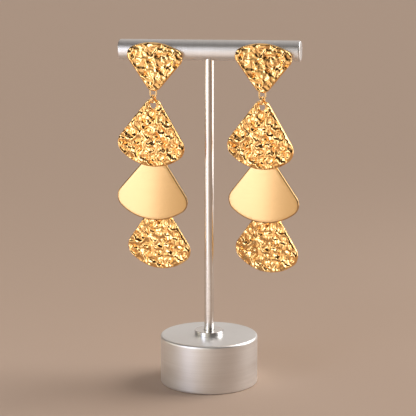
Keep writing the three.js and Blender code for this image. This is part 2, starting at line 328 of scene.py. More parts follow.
# %% [markdown]
# ## Finishing a piece
# Every finished piece sits at the origin with its place in its mesh, rides on one body of the
# frame, and stands for the solid that it dresses. One function does all of that, so no piece
# forgets a step.


# %% Finish a piece
def finish_piece(mesh, name, material):
    """Puts a mesh in the scene as a piece that replaces the frame's node of the same name."""
    if material is not None:
        mesh.materials.clear()
        mesh.materials.append(material)
    mesh.polygons.foreach_set("use_smooth", [True] * len(mesh.polygons))
    piece = bpy.data.objects.new(name + "_dressed", mesh)
    bpy.context.scene.collection.objects.link(piece)
    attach(piece, body_of_node[name])
    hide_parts(name)
    return piece


body_of_node = {
    node: body
    for body, nodes in frame["record"]["behaviour"]["bodies"].items()
    for node in nodes
}
print("bodies:", sorted(set(body_of_node.values())))

# %% [markdown]
# ## The stand
# A turned part is a profile spun round an axis. The profile is written as lines with rounded
# corners, because a lathe's edge is always broken a little, and that tiny round catches the light.
# Smooth shading blends the normals of neighbouring faces, so a wide flat face next to a round would
# look domed. A support point close to each end of a round keeps the flat faces flat.


# %% Turn a profile into a mesh
SUPPORT_GAP = 0.06 * MM


def rounded(profile, steps=6):
    """Replaces each (radius, height, rounding) corner by a short arc between two support points."""
    points = []
    count = len(profile)
    for index, (radius, height, rounding) in enumerate(profile):
        corner = Vector((radius, height))
        if rounding == 0 or index in (0, count - 1):
            points.append(corner)
            continue
        before = Vector(profile[index - 1][:2])
        after = Vector(profile[index + 1][:2])
        inward = (before - corner).normalized()
        outward = (after - corner).normalized()
        start = corner + inward * rounding
        end = corner + outward * rounding
        points.append(start + inward * SUPPORT_GAP)
        for step in range(steps + 1):
            share = step / steps
            points.append(
                start * (1 - share) ** 2 + corner * 2 * share * (1 - share) + end * share**2
            )
        points.append(end + outward * SUPPORT_GAP)
    return points


def turned(name, profile, segments=128, axis="Z"):
    """Spins a profile of (radius, height) points round an axis; radius 0 closes on the axis."""
    points, faces, rings = [], [], []
    for radius, height in profile:
        if radius < 1e-9:
            rings.append([len(points)])
            points.append((0, 0, height))
            continue
        rings.append(list(range(len(points), len(points) + segments)))
        for step in range(segments):
            angle = 2 * math.pi * step / segments
            points.append((radius * math.cos(angle), radius * math.sin(angle), height))
    for lower, upper in zip(rings, rings[1:]):
        for step in range(segments):
            after = (step + 1) % segments
            if len(lower) == 1:
                faces.append((lower[0], upper[after], upper[step]))
            elif len(upper) == 1:
                faces.append((lower[step], lower[after], upper[0]))
            else:
                faces.append((lower[step], lower[after], upper[after], upper[step]))
    mesh = bpy.data.meshes.new(name)
    mesh.from_pydata(points, [], faces)
    if axis == "X":
        mesh.transform(Matrix.Rotation(math.pi / 2, 4, "Y"))
    if axis == "Y":
        mesh.transform(Matrix.Rotation(-math.pi / 2, 4, "X"))
    mesh.update()
    return mesh


# %% [markdown]
# The stand is three turned pieces and the bar. The base is a solid drum with a socket for the stem,
# the collar is a flat ring that hides the joint, and the stem is a plain rod.

# %% Dimensions of the stand
BASE_RADIUS = 19.4 * MM
BASE_HEIGHT = 19.4 * MM
BASE_TOP_ROUNDING = 1.1 * MM
BASE_FOOT_ROUNDING = 0.7 * MM
COLLAR_RADIUS = 5.8 * MM
COLLAR_HEIGHT = 1.7 * MM
STEM_RADIUS = 1.9 * MM
SOCKET_RADIUS = 2.15 * MM
SOCKET_DEPTH = 4 * MM
BAR_RADIUS = 4 * MM
BAR_HALF_LENGTH = 35.8 * MM
BAR_HEIGHT = 132.4 * MM
BAR_END_ROUNDING = 0.7 * MM
POST_HOLE_RADIUS = 0.8 * MM
POST_X = 21.5 * MM
STEM_END_GAP = 0.25 * MM

# %% The base, the collar and the stem
base_profile = rounded(
    [
        (0, 0, 0),
        (BASE_RADIUS, 0, BASE_FOOT_ROUNDING),
        (BASE_RADIUS, BASE_HEIGHT, BASE_TOP_ROUNDING),
        (SOCKET_RADIUS, BASE_HEIGHT, 0.1 * MM),
        (SOCKET_RADIUS, BASE_HEIGHT - SOCKET_DEPTH, 0.1 * MM),
        (0, BASE_HEIGHT - SOCKET_DEPTH, 0),
    ]
)
base = finish_piece(turned("base", base_profile, 192), "base", satin_metal)

collar_profile = rounded(
    [
        (SOCKET_RADIUS, 0, 0),
        (COLLAR_RADIUS, 0, 0.1 * MM),
        (COLLAR_RADIUS, COLLAR_HEIGHT, 0.35 * MM),
        (SOCKET_RADIUS, COLLAR_HEIGHT, 0.15 * MM),
        (SOCKET_RADIUS, 0, 0),
    ]
)
collar_mesh = turned("foot_collar", collar_profile)
collar_mesh.transform(Matrix.Translation((0, 0, BASE_HEIGHT)))
collar = finish_piece(collar_mesh, "foot_collar", polished_metal)

STEM_START = BASE_HEIGHT - SOCKET_DEPTH + STEM_END_GAP
STEM_END = BAR_HEIGHT - BAR_RADIUS + SOCKET_DEPTH - STEM_END_GAP
stem_profile = rounded(
    [
        (0, STEM_START, 0),
        (STEM_RADIUS, STEM_START, 0.2 * MM),
        (STEM_RADIUS, STEM_END, 0.2 * MM),
        (0, STEM_END, 0),
    ]
)
stem = finish_piece(turned("stem", stem_profile, 64), "stem", polished_metal)
print("turned faces:", [len(piece.data.polygons) for piece in (base, collar, stem)])

# %% [markdown]
# The bar is drilled through for the two posts and has a socket below for the stem. A Boolean
# modifier cuts one joined cutter out of the plain rod, and its result is kept as the mesh. The cuts
# leave long thin faces, which smooth shading would streak with light and dark lines. Extra rings of
# points on both sides of each hole keep those faces short, and the edges of the holes are marked
# sharp.


# %% The bar
def apply_modifiers(piece):
    """Returns the evaluated mesh of an object, and removes the object."""
    graph = bpy.context.evaluated_depsgraph_get()
    graph.update()
    mesh = bpy.data.meshes.new_from_object(piece.evaluated_get(graph), depsgraph=graph)
    bpy.data.objects.remove(piece)
    return mesh


def joined(name, meshes):
    """One mesh that holds the faces of several."""
    points, faces = [], []
    for mesh in meshes:
        start = len(points)
        points += [tuple(v.co) for v in mesh.vertices]
        faces += [tuple(start + i for i in polygon.vertices) for polygon in mesh.polygons]
    result = bpy.data.meshes.new(name)
    result.from_pydata(points, [], faces)
    return result


POST_RING_GAP = 1.5 * MM
SOCKET_RING_GAP = 3 * MM
SHARP_ANGLE = math.radians(30)


def bar_mesh():
    """The drilled bar at its place."""
    hole_places = ((-POST_X, POST_RING_GAP), (0, SOCKET_RING_GAP), (POST_X, POST_RING_GAP))
    ring_places = [middle + side * gap for middle, gap in hole_places for side in (-1, 1)]
    profile = rounded(
        [
            (0, -BAR_HALF_LENGTH, 0),
            (BAR_RADIUS, -BAR_HALF_LENGTH, BAR_END_ROUNDING),
            *[(BAR_RADIUS, place, 0) for place in ring_places],
            (BAR_RADIUS, BAR_HALF_LENGTH, BAR_END_ROUNDING),
            (0, BAR_HALF_LENGTH, 0),
        ]
    )
    rod = bpy.data.objects.new("bar_rod", turned("bar_rod", profile, 96, "X"))
    reach = 2 * BAR_RADIUS
    drills = []
    for side in (-1, 1):
        drill = turned(
            "drill",
            [(0, -reach), (POST_HOLE_RADIUS, -reach), (POST_HOLE_RADIUS, reach), (0, reach)],
            32,
            "Y",
        )
        drill.transform(Matrix.Translation((side * POST_X, 0, 0)))
        drills.append(drill)
    socket = turned(
        "socket",
        [(0, -reach), (SOCKET_RADIUS, -reach), (SOCKET_RADIUS, 0), (0, 0)],
        48,
    )
    cutter = bpy.data.objects.new("bar_cutter", joined("bar_cutter", [*drills, socket]))
    for helper in (rod, cutter):
        bpy.context.scene.collection.objects.link(helper)
    cut = rod.modifiers.new("drill", "BOOLEAN")
    cut.operation = "DIFFERENCE"
    cut.solver = "EXACT"
    cut.object = cutter
    mesh = apply_modifiers(rod)
    mesh.set_sharp_from_angle(angle=SHARP_ANGLE)
    bpy.data.objects.remove(cutter)
    mesh.transform(Matrix.Translation((0, 0, BAR_HEIGHT)))
    return mesh


bar = finish_piece(bar_mesh(), "bar", bar_metal)
print("bar faces:", len(bar.data.polygons))

# %% [markdown]
# ## The fan plates
# The outline of a fan is two straight sides, a wide arc at the bottom and three rounded corners.
# All of it follows from a few radii and angles. Angles are measured from the fan's centre line,
# and the fan's sharp point is the origin of the drawing, in millimetres.

# %% Dimensions of the plates
STUD_FAN = dict(
    left_angle=math.radians(35.1),
    right_angle=math.radians(40.2),
    arc_centre=(-0.72, -1.52),
    arc_radius=19.45,
    corner_radius=3.5,
    point_radius=3.4,
)
HANGING_FAN = dict(
    left_angle=math.radians(37.2),
    right_angle=math.radians(36.7),
    arc_centre=(0.0, -8.77),
    arc_radius=20.6,
    corner_radius=5.0,
    point_radius=3.9,
)
PLATE_THICKNESS = 1.5
EDGE_ROUNDING = 0.6
HOLE_BELOW_POINT = 5.0
HOLE_RADIUS = 1.45
OUTLINE_SPACING = 0.25
HOLE_SPACING = 0.2
MEASURE_SPACING = 0.08


# %% Draw the outline of a fan
def arc(centre, radius, start, end, spacing):
    """Points on an arc between two angles, about spacing apart, without its last point."""
    count = max(2, round(abs(end - start) * radius / spacing))
    angles = start + (end - start) * np.arange(count) / count
    return np.stack(
        [centre[0] + radius * np.cos(angles), centre[1] + radius * np.sin(angles)], axis=1
    )


def corner_circle(fan, side):
    """Centre of the circle that touches one straight side and the bottom arc from inside."""
    angle = fan["right_angle"] if side > 0 else fan["left_angle"]
    along = np.array([side * math.sin(angle), -math.cos(angle)])
    inward = np.array([-side * math.cos(angle), -math.sin(angle)])
    offset = inward * fan["corner_radius"] - np.array(fan["arc_centre"])
    half = offset @ along
    rest = offset @ offset - (fan["arc_radius"] - fan["corner_radius"]) ** 2
    reach = -half + math.sqrt(half * half - rest)
    return along * reach + inward * fan["corner_radius"]


def straight(start, end, spacing):
    """Points on a line, about spacing apart, without its last point."""
    count = max(2, round(np.linalg.norm(end - start) / spacing))
    return start + (end - start) * (np.arange(count) / count)[:, None]


def fan_outline(fan, spacing):
    """The closed outline of a fan, counterclockwise, and its outward normals."""
    left, right = corner_circle(fan, -1), corner_circle(fan, 1)
    arc_centre = np.array(fan["arc_centre"])
    left_turn = math.atan2(*(left - arc_centre)[::-1]) % (2 * math.pi)
    right_turn = math.atan2(*(right - arc_centre)[::-1]) % (2 * math.pi)
    half = (fan["left_angle"] + fan["right_angle"]) / 2
    middle = (fan["right_angle"] - fan["left_angle"]) / 2
    depth = fan["point_radius"] / math.sin(half)
    point = np.array([depth * math.sin(middle), -depth * math.cos(middle)])

    left_up = math.pi - fan["left_angle"]
    right_up = fan["right_angle"]

    def on(centre, radius, angle):
        return centre + radius * np.array([math.cos(angle), math.sin(angle)])

    corner = fan["corner_radius"]
    pieces = [
        straight(on(point, fan["point_radius"], left_up), on(left, corner, left_up), spacing),
        arc(left, corner, left_up, left_turn, spacing),
        arc(arc_centre, fan["arc_radius"], left_turn, right_turn, spacing),
        arc(right, corner, right_turn, 2 * math.pi + right_up, spacing),
        straight(on(right, corner, right_up), on(point, fan["point_radius"], right_up), spacing),
        arc(point, fan["point_radius"], right_up, left_up, spacing),
    ]
    outline = np.concatenate(pieces)
    run = np.roll(outline, -1, axis=0) - np.roll(outline, 1, axis=0)
    normals = np.stack([run[:, 1], -run[:, 0]], axis=1)
    normals /= np.linalg.norm(normals, axis=1)[:, None]
    return outline, normals


# %% [markdown]
# ## From outline to plate
# A good mesh for hammered metal has small, even triangles. The outline and a few copies of it,
# stepped inward, shape the rounded edge. A honeycomb of points fills the rest, and a Delaunay
# triangulation joins them all. The same flat net is used for the front and the back of the plate.


# %% Helpers for the net
BATCH = 2000
TESTED_EDGE_STEP = 4


def distance_to(points, outline):
    """Distance of each point from the nearest point of a closely spaced outline, in batches."""
    result = np.empty(len(points))
    for start in range(0, len(points), BATCH):
        gap = points[start : start + BATCH, None] - outline[None]
        result[start : start + BATCH] = np.sqrt((gap**2).sum(axis=2).min(axis=1))
    return result


def inside(points, outline):
    """True for points inside a convex, counterclockwise outline, tested at some of its edges."""
    result = np.ones(len(points), bool)
    edges = np.roll(outline, -1, axis=0) - outline
    for start, edge in zip(outline[::TESTED_EDGE_STEP], edges[::TESTED_EDGE_STEP]):
        across = edge[0] * (points[:, 1] - start[1]) - edge[1] * (points[:, 0] - start[0])
        result &= across > 0
    return result


def honeycomb(outline, spacing):
    """Points of a honeycomb that cover the outline's box."""
    low, high = outline.min(axis=0), outline.max(axis=0)
    rows = np.arange(low[1], high[1], spacing * math.sqrt(3) / 2)
    columns = np.arange(low[0], high[0], spacing)
    x, z = np.meshgrid(columns, rows)
    x = x + (np.arange(len(rows)) % 2)[:, None] * spacing / 2
    return np.stack([x.ravel(), z.ravel()], axis=1)


# %% Fill a fan with triangles
EDGE_STEPS = (0.0, 0.06, 0.16, 0.3, 0.46, EDGE_ROUNDING)
CLOSEST_SHARE = 0.6
SAME_POINT = 1e-7


def fan_net(fan, spacing, hole):
    """Flat net of a fan: points, triangles, loops of edge points, and distance from the edge."""
    outline, normals = fan_outline(fan, OUTLINE_SPACING)
    points = [outline - normals * step for step in EDGE_STEPS]
    if hole:
        centre = np.array([0.0, -HOLE_BELOW_POINT])
        ring = arc(centre, HOLE_RADIUS, 0, 2 * math.pi, HOLE_SPACING)
        outward = (ring - centre) / HOLE_RADIUS
        points += [ring + outward * step for step in EDGE_STEPS]
    grid = honeycomb(outline, spacing)
    grid = grid[inside(grid, outline)]
    dense = fan_outline(fan, MEASURE_SPACING)[0]
    margin = EDGE_ROUNDING + CLOSEST_SHARE * spacing
    grid = grid[distance_to(grid, dense) > margin]
    if hole:
        from_hole = np.linalg.norm(grid - centre, axis=1)
        grid = grid[from_hole > HOLE_RADIUS + margin]
    flat = np.concatenate([*points, grid])
    made = delaunay_2d_cdt([Vector(p) for p in flat], [], [], 0, SAME_POINT)
    flat = np.array([tuple(v) for v in made[0]])
    triangles = np.array([f for f in made[2] if len(f) == 3])
    middle = flat[triangles].mean(axis=1)
    edge_loops = [np.arange(len(outline))]
    edge = distance_to(flat, dense)
    edge[: len(outline)] = 0
    if hole:
        triangles = triangles[np.linalg.norm(middle - centre, axis=1) > HOLE_RADIUS]
        first = len(outline) * len(EDGE_STEPS)
        edge_loops.append(np.arange(first, first + len(ring))[::-1])
        edge = np.minimum(edge, np.maximum(np.linalg.norm(flat - centre, axis=1) - HOLE_RADIUS, 0))
    return flat, triangles, edge_loops, edge


# %% [markdown]
# The smooth plates are bowed by a few tenths of a millimetre, as pressed sheet is. A flat mirror
# would show one tone, and the bow spreads the room's light into a soft gradient from side to side.

# %% From a flat net to a plate
FADE_START = 0.1
FADE_WIDTH = 0.45
BOW_RADIUS = 230.0


def plate_mesh(name, net, bow_radius=math.inf):
    """A plate with rounded edges from a flat net: front towards -Y, in metres."""
    flat, triangles, loops, edge = net
    run = np.clip(EDGE_ROUNDING - edge, 0, EDGE_ROUNDING)
    drop = EDGE_ROUNDING - np.sqrt(EDGE_ROUNDING**2 - run**2)
    lift = PLATE_THICKNESS / 2 - drop
    bow = flat[:, 0] ** 2 / (2 * bow_radius)
    count = len(flat)
    points = np.concatenate(
        [
            np.stack([flat[:, 0], bow - lift, flat[:, 1]], axis=1),
            np.stack([flat[:, 0], bow + lift, flat[:, 1]], axis=1),
        ]
    )
    faces = [tuple(t) for t in triangles]
    faces += [tuple(t[::-1] + count) for t in triangles]
    for loop in loops:
        following = np.roll(loop, -1)
        for here, after in zip(loop, following):
            faces.append((after, here, here + count, after + count))
    mesh = bpy.data.meshes.new(name)
    mesh.from_pydata((points * MM).tolist(), [], faces)
    relief = mesh.attributes.new("relief", "FLOAT", "POINT")
    fade = np.clip((edge - FADE_START) / FADE_WIDTH, 0, 1)
    relief.data.foreach_set("value", np.concatenate([fade, np.zeros(count)]))
    mesh.update()
    return mesh


# %% The nets of the three kinds of plate
HAMMERED_SPACING = 0.21
SMOOTH_SPACING = 0.9

stud_net = fan_net(STUD_FAN, HAMMERED_SPACING, hole=False)
hanging_net = fan_net(HANGING_FAN, HAMMERED_SPACING, hole=True)
smooth_net = fan_net(HANGING_FAN, SMOOTH_SPACING, hole=True)
print("triangles in a hanging fan's front:", len(hanging_net[1]))

# %% [markdown]
# ## The hammered relief
# The gold face looks like crumpled foil: rounded folds that wander over it, finer creases across
# them, and small pits between. A Geometry Nodes tree pushes each point of the front forward or back
# by a height that it works out from the point's place. Soft noise passes through its middle value
# along wandering lines, and a bell curve round that value raises a rounded fold there. The creases
# are the same at a smaller size, a slow roll lifts and sinks whole areas, and a Voronoi pattern
# sinks a pit in some of its cells. A hyperbolic tangent levels off the extremes, so the front never
# reaches the back of the plate. The attribute "relief" fades the height out at the rim, which stays
# clean. The noise depends on place alone, so the pattern is the same at every run.

# %% Geometry Nodes: hammered relief
relief_tree, relief_in, relief_out = new_group(
    "hammered relief",
    {
        "Geometry": ("NodeSocketGeometry", None),
        "Fold Height": ("NodeSocketFloat", 0.2 * MM),
        "Fold Size": ("NodeSocketFloat", 3.4 * MM),
        "Crease Height": ("NodeSocketFloat", 0.1 * MM),
        "Crease Size": ("NodeSocketFloat", 1.8 * MM),
        "Roll Height": ("NodeSocketFloat", 0.45 * MM),
        "Roll Size": ("NodeSocketFloat", 2.4 * MM),
        "Pit Depth": ("NodeSocketFloat", 0.4 * MM),
        "Pit Spacing": ("NodeSocketFloat", 2.8 * MM),
        "Wander": ("NodeSocketFloat", 1.4 * MM),
        "Sink": ("NodeSocketFloat", 0.15 * MM),
        "Limit": ("NodeSocketFloat", 1.15 * MM),
        "Shift": ("NodeSocketVector", (0.0, 0.0, 0.0)),
        "Material": ("NodeSocketMaterial", None),
    },
    {"Geometry": "NodeSocketGeometry"},
    kind="GeometryNodeTree",
)


def noise(tree, place, size, detail=0.0):
    """Soft noise from 0 to 1 whose blobs are about as wide as size."""
    scale = math_node(tree, "DIVIDE", 1.0, size)
    inputs = {"Vector": place, "Scale": scale, "Detail": detail}
    return add_node(tree, "ShaderNodeTexNoise", inputs)


def folds(tree, place, size, height, width):
    """Rounded ridges that wander along the line where soft noise is at its middle value."""
    level = noise(tree, place, size).outputs[0]
    off = math_node(tree, "DIVIDE", math_node(tree, "SUBTRACT", level, 0.5), width)
    fall = math_node(tree, "MULTIPLY", math_node(tree, "MULTIPLY", off, off), -1.0)
    return math_node(tree, "MULTIPLY", math_node(tree, "EXPONENT", fall), height)


def pits(tree, place, spacing, depth, radius, share):
    """Round hollows in some cells of a Voronoi pattern; radius is in cells."""
    scale = math_node(tree, "DIVIDE", 1.0, spacing)
    cells = add_node(tree, "ShaderNodeTexVoronoi", {"Vector": place, "Scale": scale}, feature="F1")
    off = math_node(tree, "DIVIDE", cells.outputs["Distance"], radius)
    fall = math_node(tree, "MULTIPLY", math_node(tree, "MULTIPLY", off, off), -1.0)
    bowl = math_node(tree, "MULTIPLY", math_node(tree, "EXPONENT", fall), depth)
    chance = add_node(tree, "ShaderNodeSeparateXYZ", {0: cells.outputs["Color"]}).outputs[0]
    return math_node(tree, "MULTIPLY", bowl, math_node(tree, "LESS_THAN", chance, share))


FOLD_WIDTH = 0.14
CREASE_WIDTH = 0.17
PIT_RADIUS = 0.26
PIT_SHARE = 0.65
ELSEWHERE = (0.31, 0.17, 0.05)


def build_relief_tree(tree, given, result):
    """Fills the relief tree: height from folds, creases, roll and pits, then place and material."""
    place = add_node(tree, "GeometryNodeInputPosition").outputs[0]
    moved = vector_node(tree, "ADD", place, given.outputs["Shift"])
    bend = noise(tree, moved, given.outputs["Roll Size"], 1.0).outputs[1]
    bend = vector_node(tree, "SUBTRACT", bend, (0.5, 0.5, 0.5))
    bend = vector_node(tree, "SCALE", bend, scale=given.outputs["Wander"])
    bent = vector_node(tree, "ADD", moved, bend)
    elsewhere = vector_node(tree, "ADD", bent, ELSEWHERE)

    fold_size, fold_height = given.outputs["Fold Size"], given.outputs["Fold Height"]
    large = folds(tree, bent, fold_size, fold_height, FOLD_WIDTH)
    crease_size, crease_height = given.outputs["Crease Size"], given.outputs["Crease Height"]
    small = folds(tree, elsewhere, crease_size, crease_height, CREASE_WIDTH)
    level = noise(tree, elsewhere, given.outputs["Roll Size"], 1.0).outputs[0]
    level = math_node(tree, "SUBTRACT", level, 0.5)
    roll = math_node(tree, "MULTIPLY", level, given.outputs["Roll Height"])
    height = math_node(tree, "ADD", math_node(tree, "ADD", large, small), roll)
    pit_spacing, pit_depth = given.outputs["Pit Spacing"], given.outputs["Pit Depth"]
    hollow = pits(tree, bent, pit_spacing, pit_depth, PIT_RADIUS, PIT_SHARE)
    height = math_node(tree, "SUBTRACT", height, hollow)
    height = math_node(tree, "SUBTRACT", height, given.outputs["Sink"])
    share = math_node(tree, "DIVIDE", height, given.outputs["Limit"])
    height = math_node(tree, "MULTIPLY", math_node(tree, "TANH", share), given.outputs["Limit"])

    fade = add_node(
        tree, "GeometryNodeInputNamedAttribute", {"Name": "relief"}, data_type="FLOAT"
    ).outputs[0]
    height = math_node(tree, "MULTIPLY", height, fade)
    offset = add_node(
        tree, "ShaderNodeCombineXYZ", {"Y": math_node(tree, "MULTIPLY", height, -1.0)}
    ).outputs[0]
    set_place = add_node(
        tree,
        "GeometryNodeSetPosition",
        {"Geometry": given.outputs["Geometry"], "Offset": offset},
    )
    real = add_node(tree, "GeometryNodeRealizeInstances", {"Geometry": set_place.outputs[0]})
    painted = add_node(
        tree,
        "GeometryNodeSetMaterial",
        {"Geometry": real.outputs[0], "Material": given.outputs["Material"]},
    )
    tree.links.new(painted.outputs[0], result.inputs["Geometry"])


build_relief_tree(relief_tree, relief_in, relief_out)


def run_tree(mesh, tree, values):
    """Runs a Geometry Nodes tree on a mesh with named inputs, and returns the plain result."""
    helper = bpy.data.objects.new("helper", mesh)
    bpy.context.scene.collection.objects.link(helper)
    modifier = helper.modifiers.new("nodes", "NODES")
    modifier.node_group = tree
    for item in tree.interface.items_tree:
        if item.item_type == "SOCKET" and item.in_out == "INPUT" and item.name in values:
            modifier[item.identifier] = values[item.name]
    return apply_modifiers(helper)


# %% [markdown]
# ## Wire
# Jump rings, the stud fan's eyelet, the loops on the backs of the plates and the posts are all
# round wire that follows a path. One tree sweeps a circle along any path. A jump ring is cut open
# on the real thing so that it can be linked, so its path stops just short of a full turn. The ring
# at the top of each drop is wound twice round, as a ring that carries the whole drop often is.

# %% Geometry Nodes: drawn wire
WIRE_SIDES = 14

wire_tree, wire_in, wire_out = new_group(
    "drawn wire",
    {
        "Geometry": ("NodeSocketGeometry", None),
        "Wire Radius": ("NodeSocketFloat", 0.4 * MM),
        "Sides": ("NodeSocketInt", WIRE_SIDES),
        "Material": ("NodeSocketMaterial", None),
    },
    {"Geometry": "NodeSocketGeometry"},
    kind="GeometryNodeTree",
)
as_curve = add_node(
    wire_tree, "GeometryNodeMeshToCurve", {"Mesh": wire_in.outputs["Geometry"]}
)
section = add_node(
    wire_tree,
    "GeometryNodeCurvePrimitiveCircle",
    {"Resolution": wire_in.outputs["Sides"], "Radius": wire_in.outputs["Wire Radius"]},
)
swept = add_node(
    wire_tree,
    "GeometryNodeCurveToMesh",
    {"Curve": as_curve.outputs[0], "Profile Curve": section.outputs[0], "Fill Caps": True},
)
wire_real = add_node(
    wire_tree, "GeometryNodeRealizeInstances", {"Geometry": swept.outputs[0]}
)
wire_painted = add_node(
    wire_tree,
    "GeometryNodeSetMaterial",
    {"Geometry": wire_real.outputs[0], "Material": wire_in.outputs["Material"]},
)
wire_tree.links.new(wire_painted.outputs[0], wire_out.inputs["Geometry"])


def wire_mesh(points, diameter):
    """Round wire along a list of points, in metres."""
    path = bpy.data.meshes.new("path")
    path.from_pydata([tuple(p) for p in points], [(i, i + 1) for i in range(len(points) - 1)], [])
    values = {"Wire Radius": diameter / 2, "Sides": WIRE_SIDES, "Material": wire_gold}
    return run_tree(path, wire_tree, values)


# %% [markdown]
# ## Where each plate hangs
# These are the same places as in the solid model: the hole of each hanging fan, its turn about
# the vertical and its lean. The fans do not hang dead straight, because the loops on their backs
# are soldered a little off the centre line.

# %% Places of the plates
STUD_POINT_HEIGHT = 114.5
STUD_GAP = 0.3
STUD_MIDDLE = -(BAR_RADIUS / MM + STUD_GAP + PLATE_THICKNESS / 2)
TIER_STEP = 3.7
EARRINGS = {
    "left": dict(
        stud=dict(x=-21.1, lean=-0.8),
        upper=dict(x=-21.1, hole=111.4, turn=-13, lean=-4),
        smooth=dict(x=-21.5, hole=89.5, turn=-3, lean=-4.5),
        lower=dict(x=-21.0, hole=69.2, turn=-18, lean=0),
    ),
    "right": dict(
        stud=dict(x=21.9, lean=0.8),
        upper=dict(x=21.9, hole=111.5, turn=-20, lean=-3),
        smooth=dict(x=22.4, hole=90.0, turn=-10, lean=-1.8),
        lower=dict(x=23.0, hole=69.6, turn=-24, lean=-1.2),
    ),
}

# %% Dimensions of the wire parts and the nuts
RING_WIRE = 0.8
TOP_RING_INNER = 1.15
TOP_RING_WIRE = 0.6
TOP_RING_PITCH = 0.63
TOP_RING_TURN = -18
TIER_RING_INNER = 1.4
RING_CUT = 5
LOOP_HALF_WIDTH = 2.0
LOOP_BEND = 1.2
EYELET_WIRE = 0.6
EYELET_WIDTH = 3.0
EYELET_BOTTOM = 113.96
EYELET_LEGS = (3.0, 2.2, 1.4)
POST_DIAMETER = 0.9
POST_END = 8.4
NUT_LENGTH = 2.6
NUT_RADIUS = 2.3
NUT_BORE_RADIUS = 0.65
NUT_GAP = 0.3
CLEARANCE = 0.1
COIL_STEPS = 72
BEND_STEPS = 24


# %% Places in space
def hang(x, y, z, turn, lean):
    """Matrix that turns a plate about the vertical, leans it and moves it, from degrees and mm."""
    rotation = Matrix.Rotation(math.radians(turn), 4, "Z") @ Matrix.Rotation(
        -math.radians(lean), 4, "Y"
    )
    return Matrix.Translation(Vector((x, y, z)) * MM) @ rotation


def ring_centre(place, middle, inner):
    """Centre of the ring in which a fan's rim rests, in mm."""
    rest = math.sqrt(inner**2 - (PLATE_THICKNESS / 2) ** 2)
    return Vector((place["x"], middle, place["hole"] + HOLE_RADIUS - CLEARANCE + rest))


# %% The jump rings
def coil(inner, wire, turns, pitch, cut_at):
    """Path of a wound ring in an upright plane; its cut lies at cut_at, in degrees."""
    radius = inner + wire / 2
    sweep = 360 * turns - RING_CUT
    points = []
    for share in np.linspace(0, 1, COIL_STEPS * turns + 1):
        angle = math.radians(cut_at + RING_CUT / 2 + sweep * share)
        along = pitch * (turns - 1) * (share - 0.5)
        points.append(Vector((along, radius * math.cos(angle), radius * math.sin(angle))) * MM)
    return points


def add_ring(name, path, wire, centre, turn):
    """A jump ring at its place in an earring."""
    mesh = wire_mesh(path, wire * MM)
    mesh.transform(hang(*centre, turn, 0))
    return finish_piece(mesh, name, None)


# %% The loops soldered on the plates
def back_loop(plate_matrix, centre):
    """Path of the loop that bows out level from a plate's back to carry a ring."""
    height = math.sqrt(TIER_RING_INNER**2 - (RING_WIRE / 2) ** 2) - CLEARANCE - RING_WIRE / 2
    outer = plate_matrix.inverted() @ ((centre + Vector((0, 0, height))) * MM)
    outer = outer / MM
    foot = PLATE_THICKNESS / 2 - RING_WIRE / 2
    bend_start = outer.y - LOOP_BEND
    legs = (foot, (foot + bend_start) / 2)
    points = [Vector((outer.x - LOOP_HALF_WIDTH, y, outer.z)) for y in legs]
    for angle in np.radians(np.linspace(180, 0, BEND_STEPS + 1)):
        x = outer.x + LOOP_HALF_WIDTH * math.cos(angle)
        y = bend_start + LOOP_BEND * math.sin(angle)
        points.append(Vector((x, y, outer.z)))
    points += [Vector((outer.x + LOOP_HALF_WIDTH, y, outer.z)) for y in legs[::-1]]
    return [p * MM for p in points]


def eyelet_path():
    """Path of the stud fan's eyelet in the plate's frame, whose origin is the fan's point."""
    half = (EYELET_WIDTH - EYELET_WIRE) / 2
    bend = EYELET_BOTTOM + EYELET_WIRE / 2 + half - STUD_POINT_HEIGHT
    points = [Vector((-half, 0, z)) for z in EYELET_LEGS]
    for angle in np.radians(np.linspace(180, 360, BEND_STEPS + 1)):
        points.append(Vector((half * math.cos(angle), 0, bend + half * math.sin(angle))))
    points += [Vector((half, 0, z)) for z in EYELET_LEGS[::-1]]
    return [p * MM for p in points]


# %% [markdown]
# ## Plates, each as one soldered piece
# A hanging fan is its plate and the loop on its back. The stud fan is its plate, eyelet and post.
# The parts of a soldered piece are joined into one mesh before it rides on its body. Hand hammering
# is never even: the upper fan of each drop is worked deepest and the lower one least.


# %% Join parts into one mesh and keep their attributes
def soldered(name, meshes):
    """Joins meshes with Blender's own join, which keeps attributes and materials."""
    objects = []
    for mesh in meshes:
        helper = bpy.data.objects.new("helper", mesh)
        bpy.context.scene.collection.objects.link(helper)
        objects.append(helper)
    with bpy.context.temp_override(
        active_object=objects[0], selected_editable_objects=objects, object=objects[0]
    ):
        bpy.ops.object.join()
    mesh = objects[0].data
    mesh.name = name
    bpy.data.objects.remove(objects[0])
    return mesh


# %% The hammered plates
RELIEF = {
    "Fold Height": 0.58 * MM,
    "Fold Size": 3.6 * MM,
    "Crease Height": 0.12 * MM,
    "Crease Size": 1.9 * MM,
    "Roll Height": 1.4 * MM,
    "Roll Size": 2.5 * MM,
    "Pit Depth": 0.8 * MM,
    "Pit Spacing": 2.6 * MM,
    "Wander": 2.0 * MM,
    "Sink": 0.15 * MM,
    "Limit": 1.15 * MM,
}
HEIGHTS = ("Fold Height", "Crease Height", "Roll Height", "Pit Depth")
STUD_SHIFT = (41 * MM, 0.0, 3 * MM)
HANGING_SHIFT = (0.0, 0.0, 0.0)
STRENGTH = {"stud": 1.05, "upper": 1.3, "lower": 0.95}

def hammered_plate(name, net, shift, strength):
    """A plate whose front is hammered; strength scales the heights, shift picks the pattern."""
    values = dict(RELIEF, Shift=shift, Material=hammered_gold)
    for label in HEIGHTS:
        values[label] *= strength
    return run_tree(plate_mesh(name, net), relief_tree, values)


